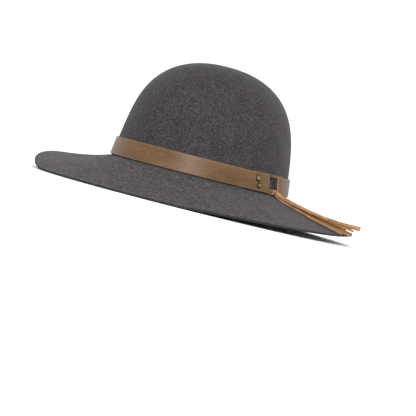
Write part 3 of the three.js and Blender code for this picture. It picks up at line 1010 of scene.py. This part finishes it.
def lay_turn(middle):
    """The lay function of one turn of suede at an azimuth."""
    half = TURN_WIDTH / 2 / MM_PER_DEGREE
    rise = (loop_back(middle + half) - loop_back(middle - half)) / TURN_WIDTH
    wall = LOOP_WALL * math.hypot(1, rise)
    tall = LOOP_RAIL / 2 + GAP + THONG_WALL / 2
    deep = wall / 2 + GAP + THONG_WALL / 2

    def lay(along, across):
        turn = math.tau * along
        height = LOOP_FOOT + LOOP_RAIL / 2 + tall * squared(math.cos(turn))
        degrees = middle + half * (2 * across - 1) + TURN_SLANT * math.cos(turn)
        offset = loop_back(degrees) + wall / 2 + deep * squared(math.sin(turn))
        return on_wall(degrees, height, offset)

    return lay


turns = bmesh.new()
turns.loops.layers.uv.new("UVMap")
turn_length = 4 * (LOOP_RAIL + LOOP_WALL)
for middle in TURNS:
    add_strip(turns, **TURN_GRID, length=turn_length, width=TURN_WIDTH, lay=lay_turn(middle))
bmesh.ops.remove_doubles(turns, verts=turns.verts, dist=SEAM * MM)
bmesh.ops.recalc_face_normals(turns, faces=turns.faces)
wrap = make_piece("suede_turns", turns, [SUEDE], "thong_wrap")
thicken(wrap, THONG_WALL, 0)
soften(wrap, SUEDE_EDGE, 2)
print("suede turns:", len(TURNS), "triangles:", triangles(wrap))

# %% [markdown]
# The tassel
#
# Eight suede thongs leave the loop side by side, draw together into a bundle that lies on the brim,
# and fan out again towards the rim, where their ends stick out and fall a little. Each is a narrow
# strip, laid along one shared line in plan. A row of the table says where a thong starts, which layer
# of the bundle it lies in, and where its end is. Layers keep their order all the way, so the
# thongs never cut through each other.

# %% The line of the bundle, and the brim under it
ROOT = Vector((92.6, 6.2))          # mm from the crown's axis: left, rear
LEAVE = Vector((104, 8.6))
ARRIVE = Vector((140, 27))
TIP = Vector((175.6, 43.5))
BUNDLE_LENGTH = (TIP - ROOT).length
DROOP = 0.2                         # fall past the rim, for each mm out


def bundle_line(t):
    """Point and direction of the bundle in plan, on a cubic curve."""
    s = 1 - t
    spot = s**3 * ROOT + 3 * s * s * t * LEAVE + 3 * s * t * t * ARRIVE + t**3 * TIP
    ahead = s * s * (LEAVE - ROOT) + 2 * s * t * (ARRIVE - LEAVE) + t * t * (TIP - ARRIVE)
    return spot, ahead.normalized()


def brim_height_under(spot):
    """Height of the felt's upper face under a point in plan; past the rim it falls slowly."""
    azimuth = math.atan2(spot.x, -spot.y)
    past_rim = max(0.0, spot.length - brim_face(azimuth, 1)[0])
    slope = brim_slope(azimuth)
    run = spot.length - past_rim - oval(azimuth) - BAND_FACE
    here = math.asin(math.sin(slope + BRIM_BEND) - run * 2 * BRIM_BEND / BRIM_WIDTH)
    share = (1 - (here - slope) / BRIM_BEND) / 2
    return press_brim(azimuth, share).z / MM - BREAK_HEIGHT - DROOP * past_rim


print("brim under the bundle's middle:", round(brim_height_under(bundle_line(0.5)[0]), 1))

# %% The thongs
# start, tip: mm to the side of the shared line; column, layer: place in the bundle, layer 0 on the
# brim; rise: mm above the brim at the tip; trim: mm shorter than the longest; roll: degrees that the
# tip has turned on its side
THONGS = [
    {"start": -4.2, "column": -1.5, "layer": 0, "tip": -9.5, "rise": 2.6, "trim": 13, "roll": 30},
    {"start": -1.4, "column": -0.5, "layer": 0, "tip": -2.5, "rise": 3.2, "trim": 6, "roll": 14},
    {"start": 1.4, "column": 0.5, "layer": 0, "tip": 5.5, "rise": 3.8, "trim": 9, "roll": 48},
    {"start": 4.2, "column": 1.5, "layer": 0, "tip": 12.0, "rise": 5.0, "trim": 12, "roll": 20},
    {"start": -4.2, "column": -1.4, "layer": 1, "tip": -12.2, "rise": 15.6, "trim": 0, "roll": 70},
    {"start": -1.4, "column": -0.45, "layer": 1, "tip": -5.5, "rise": 9.2, "trim": 5, "roll": 22},
    {"start": 1.4, "column": 0.5, "layer": 1, "tip": 1.6, "rise": 12.4, "trim": 1, "roll": 62},
    {"start": 4.2, "column": 1.45, "layer": 1, "tip": 8.4, "rise": 8.0, "trim": 8, "roll": 35},
]
BUNDLE_LIFT = 1.5                   # mm from the brim to the middle of the lowest layer
LAYER = 2.4                         # mm from layer to layer
COLUMN = 2.5                        # mm from column to column
FALL_OFF = 1.6                      # mm that a thong starts above the bundle, where it leaves the rail
SQUEEZE = 0.8                       # a thong's width where it is squeezed at the rail
FAN = 2.4                           # a higher power keeps the thongs together for longer
SHINGLE = 35                        # degrees that thongs in the bundle lie tilted on each other
SWAY = 0.5                          # mm that a thong sways to the side by its tip
SWAY_WAVE = 9                       # radians of that sway over its length
SWAY_SHIFT = 2.1                    # radians between one layer's sway and the next
THONG_GRID = {"columns": 48, "rows": 2}

# What happens on the way, as shares of the length
TILTED = 0.08                       # a thong lies tilted on the next from here on
SETTLED = 0.14                      # it has come down into its layer
GATHERED = 0.16                     # it has reached its column
WIDENING = (0.06, 0.2)              # it gets its full width back
ROLLING = 0.25                      # from here to its tip it turns on its side


def lay_thong(row):
    """The lay function of one thong of the tassel."""

    def lay(along, across):
        t = along * (1 - row["trim"] / BUNDLE_LENGTH)
        spot, ahead = bundle_line(t)
        side = Vector((-ahead.y, ahead.x))
        gathered = lerp(row["start"], row["column"] * COLUMN, smoothstep(0, GATHERED, along))
        sway_turn = SWAY_WAVE * along + SWAY_SHIFT * row["layer"] + row["column"]
        aside = lerp(gathered, row["tip"], along**FAN) + SWAY * math.sin(sway_turn) * along
        spot += side * aside
        low = BUNDLE_LIFT + LAYER * row["layer"]
        rise = lerp(low, row["rise"], along**FAN) + FALL_OFF * (1 - smoothstep(0, SETTLED, along))
        shingle = SHINGLE * smoothstep(0, TILTED, along)
        roll = math.radians(lerp(shingle, row["roll"], smoothstep(ROLLING, 1, along)))
        middle = Vector((*spot, brim_height_under(spot) + rise))
        width = Vector((*(side * math.cos(roll)), math.sin(roll)))
        wide = THONG_WIDTH * lerp(SQUEEZE, 1, smoothstep(*WIDENING, along))
        point = middle + width * wide * (across - 0.5)
        return Vector((AXIS.x, AXIS.y, BREAK_HEIGHT * MM)) + point * MM

    return lay


tassel_sheet = bmesh.new()
tassel_sheet.loops.layers.uv.new("UVMap")
for row in THONGS:
    length = BUNDLE_LENGTH - row["trim"]
    add_strip(tassel_sheet, **THONG_GRID, length=length, width=THONG_WIDTH, lay=lay_thong(row))
tassel = make_piece("suede_tassel", tassel_sheet, [SUEDE], "tassel")
thicken(tassel, THONG_WALL, 0)
soften(tassel, SUEDE_EDGE, 2)
print("thongs:", len(THONGS), "triangles:", triangles(tassel))

# %% [markdown]
# Rivets
#
# Two small rivets hold the band's end on the loop. A rivet cap is pressed brass, given a dark antique
# finish and rubbed bright again on its dome. The dark ring round the dome is patina and also painted
# shade, for the crevice at its collar. Its outline, a low collar and a dome, is spun
# right round, and the closed cap is set on the leather, facing out from the wall.

# %% Antique brass
BRASS_SPOT = 1.6            # mm across a spot where the patina is worn off


def antique_brass(name, patina, bare):
    """Brass with a dark patina that is worn off in places; a metal, so its IOR stays as it is."""
    material = new_material(name)
    place = add_node(material, "TexCoord").outputs["Object"]
    wear = add_node(
        material, "TexNoise", {"Scale": size_mm(BRASS_SPOT), "Detail": 3.0, "Roughness": 0.6},
        {"Vector": place},
    )
    share = add_node(
        material, "MapRange", {"From Min": 0.35, "From Max": 0.65}, {"Value": wear.outputs["Fac"]},
    )
    colour = add_node(
        material, "Mix",
        {"data_type": "RGBA", MIX_A: linear(patina), MIX_B: linear(bare)},
        {"Factor": share.outputs[0]},
    )
    gloss = add_node(
        material, "MapRange", {"To Min": 0.55, "To Max": 0.35}, {"Value": wear.outputs["Fac"]},
    )
    shader = add_node(
        material, "BsdfPrincipled", {"Metallic": 1.0},
        {"Base Color": colour.outputs[MIX_RESULT], "Roughness": gloss.outputs[0]},
    )
    add_node(material, "OutputMaterial", None, {"Surface": shader.outputs[0]})
    return material


BRASS = antique_brass("antique_brass", patina="#453a26", bare="#9c8b62")
# The collar's finish: dark patina, and painted shade for its crevice
PATINA_AND_SHADE = antique_brass("brass_patina_and_painted_shade", patina="#1c1710", bare="#3c3321")
print("brass finishes:", BRASS.name, PATINA_AND_SHADE.name)

# %% The rivets
RIVETS = [
    {"name": "upper_rivet", "stands_for": "rivet_upper", "radius": 3.6, "rise": 1.6},
    {"name": "lower_rivet", "stands_for": "rivet_lower", "radius": 2.9, "rise": 1.4},
]
COLLAR = 0.35               # height of the collar, mm
SUNK = 0.4                  # how far the cap reaches back to the leather, below its plain piece
DOME = 0.8                  # the dome's share of the radius; the corner round it keeps a dark patina, also painted shade for the collar's crevice
CAP_DOME_ROWS = 8
CAP_AROUND = 40

# The collar's section: out is a share of the cap's radius, and up a share of the collar's height
COLLAR_SECTION = [
    {"out": 1.0, "up": 0.6},
    {"out": 0.96, "up": 1.0},
    {"out": 0.86, "up": 1.0},
    {"out": DOME, "up": 0.7},
]


def rivet_outline(radius, rise):
    """Radius and height of a cap, from the middle of its back to the top of its dome, in mm."""
    outline = [(0, -SUNK), (radius, -SUNK)]
    outline += [(radius * row["out"], COLLAR * row["up"]) for row in COLLAR_SECTION]
    foot_radius, foot_height = outline[-1]
    for i in range(1, CAP_DOME_ROWS):
        turn = math.pi / 2 * i / CAP_DOME_ROWS
        outline.append((foot_radius * math.cos(turn), lerp(foot_height, rise, math.sin(turn))))
    outline.append((0, rise))
    return outline


for row in RIVETS:
    low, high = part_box(row["stands_for"])
    middle = (low + high) / 2
    azimuth = math.atan2(middle.x - AXIS.x, -(middle.y - AXIS.y))
    height = middle.z / MM - BREAK_HEIGHT
    degrees = math.degrees(azimuth)
    seat = on_wall(degrees, height, band_back(360 + degrees) + BAND_WALL + GAP)
    aside = on_wall(degrees + STEP, height, 0) - on_wall(degrees - STEP, height, 0)
    above = on_wall(degrees, height + 1, 0) - on_wall(degrees, height - 1, 0)
    out = aside.cross(above).normalized()
    cap = spin_outline(rivet_outline(row["radius"], row["rise"]), CAP_AROUND, MM)
    bmesh.ops.recalc_face_normals(cap, faces=cap.faces)
    # Painted shade: faces outside the dome get the dark patina, which also stands in for the shade in
    # the collar's crevice
    for face in cap.faces:
        face.material_index = int(face.calc_center_median().xy.length > DOME * row["radius"] * MM)
    face_out = out.to_track_quat("Z", "Y").to_matrix().to_4x4()
    bmesh.ops.transform(cap, matrix=Matrix.Translation(seat) @ face_out, verts=cap.verts)
    make_piece(row["name"], cap, [BRASS, PATINA_AND_SHADE], row["stands_for"])
    print(row["name"], "at azimuth", round(degrees, 1), "height", round(height, 1))

# %% [markdown]
# The studio
#
# The hat rests on a plain white floor in a white tent of light, as in a shop photograph. The tent is
# the world itself, a little brighter than white, so that the floor stays white to the horizon and no
# line shows behind the hat. A softbox near the camera gives the leather its highlight. One on each
# side lights the felt's nap along the crown's edges, and glossy surfaces don't reflect it, so that the
# leather keeps a single highlight. The picture uses the Standard view, which shows colours as they
# are.

# %% Floor
FLOOR_HALF = 30             # metres
FLOOR_LEVEL = -0.35         # mm; just under the uneven felt, which dips 0.3 below the frame's own floor


def floor_paint():
    """Matt white paint."""
    material = new_material("matt_white_floor")
    shader = add_node(
        material, "BsdfPrincipled",
        {"Base Color": linear("#f2f2f2"), "Roughness": 1.0, "Specular IOR Level": 0.0},
    )
    add_node(material, "OutputMaterial", None, {"Surface": shader.outputs[0]})
    return material


floor_shape = bmesh.new()
bmesh.ops.create_grid(
    floor_shape, x_segments=1, y_segments=1, size=FLOOR_HALF,
    matrix=Matrix.Translation((0, 0, FLOOR_LEVEL * MM)),
)
floor_mesh = bpy.data.meshes.new("floor")
floor_shape.to_mesh(floor_mesh)
floor_shape.free()
floor_mesh.materials.append(floor_paint())
floor = bpy.data.objects.new("floor", floor_mesh)
bpy.context.scene.collection.objects.link(floor)
print("floor half width, m:", FLOOR_HALF)

# %% World and lights
WORLD_LIGHT = 1.15          # just enough to leave the floor white after its paint has dimmed it

scene = bpy.context.scene
world = bpy.data.worlds.new("white_studio")
world.use_nodes = True
world.node_tree.nodes.clear()
tent = add_node(world, "Background", {"Color": linear("#ffffff"), "Strength": WORLD_LIGHT})
add_node(world, "OutputWorld", None, {"Surface": tent.outputs[0]})
scene.world = world
scene.view_settings.view_transform = "Standard"


def direction(azimuth, elevation):
    """Unit vector from the hat towards an azimuth and elevation in degrees."""
    a = math.radians(azimuth)
    e = math.radians(elevation)
    return Vector((math.sin(a) * math.cos(e), -math.cos(a) * math.cos(e), math.sin(e)))


# azimuth in degrees; wide and tall in metres; power in watts; shine: whether gloss reflects it
SOFTBOXES = [
    {"name": "key_softbox", "azimuth": 38, "wide": 0.2, "tall": 0.8, "power": 20, "shine": True},
    {"name": "left_softbox", "azimuth": -98, "wide": 0.5, "tall": 1.0, "power": 9, "shine": False},
    {"name": "right_softbox", "azimuth": 166, "wide": 0.5, "tall": 1.0, "power": 9, "shine": False},
]
LAMP_DISTANCE = 1.6
LAMP_ELEVATION = 15
LAMP_AIM = Vector((0, 0, 0.08))
for row in SOFTBOXES:
    softbox = bpy.data.lights.new(row["name"], "AREA")
    softbox.energy = row["power"]
    softbox.shape = "RECTANGLE"
    softbox.size = row["wide"]
    softbox.size_y = row["tall"]
    lamp = bpy.data.objects.new(row["name"], softbox)
    lamp.visible_glossy = row["shine"]
    out = direction(row["azimuth"], LAMP_ELEVATION)
    lamp.location = LAMP_AIM + out * LAMP_DISTANCE
    lamp.rotation_euler = out.to_track_quat("Z", "Y").to_euler()
    scene.collection.objects.link(lamp)
print("lights:", [item.name for item in bpy.data.lights])

# %% [markdown]
# The camera
#
# The photograph shows the hat tipped back, from a little below the brim. Its angle round the hat, its
# roll and its distance are kept. The hat rests on a floor here, so the camera keeps just above that
# floor and looks nearly level.

# %% Camera
PHOTO_SIZE = 416            # pixels
SENSOR = 36                 # mm
VIEW_AZIMUTH = 34
VIEW_ELEVATION = 1.5
VIEW_ROLL = 14.27
VIEW_DISTANCE = 2000        # mm
MM_PER_PIXEL = 1.029        # at the hat
HAT_PIXEL = (199.4, 176.8)  # where the crown's axis meets the break, in the photograph
CLIP = (0.05, 200)          # nearest and furthest that the camera sees, in metres

back = direction(VIEW_AZIMUTH, VIEW_ELEVATION)
level = Vector((math.cos(math.radians(VIEW_AZIMUTH)), math.sin(math.radians(VIEW_AZIMUTH)), 0))
upright = back.cross(level)
roll = math.radians(VIEW_ROLL)
right = level * math.cos(roll) + upright * math.sin(roll)
up = upright * math.cos(roll) - level * math.sin(roll)
shift_right = (HAT_PIXEL[0] - PHOTO_SIZE / 2) * MM_PER_PIXEL
shift_up = (PHOTO_SIZE / 2 - HAT_PIXEL[1]) * MM_PER_PIXEL
target = Vector((AXIS.x, AXIS.y, BREAK_HEIGHT * MM))
spot = target + (back * VIEW_DISTANCE - right * shift_right - up * shift_up) * MM

camera_data = bpy.data.cameras.new("camera")
camera_data.sensor_width = SENSOR
camera_data.lens = VIEW_DISTANCE / MM_PER_PIXEL * SENSOR / PHOTO_SIZE
camera_data.clip_start = CLIP[0]
camera_data.clip_end = CLIP[1]
camera = bpy.data.objects.new("camera", camera_data)
camera.matrix_world = Matrix.Translation(spot) @ Matrix((right, up, back)).transposed().to_4x4()
scene.collection.objects.link(camera)
scene.camera = camera
print("camera above the floor, mm:", round(spot.z / MM, 1), "lens, mm:", round(camera_data.lens, 1))
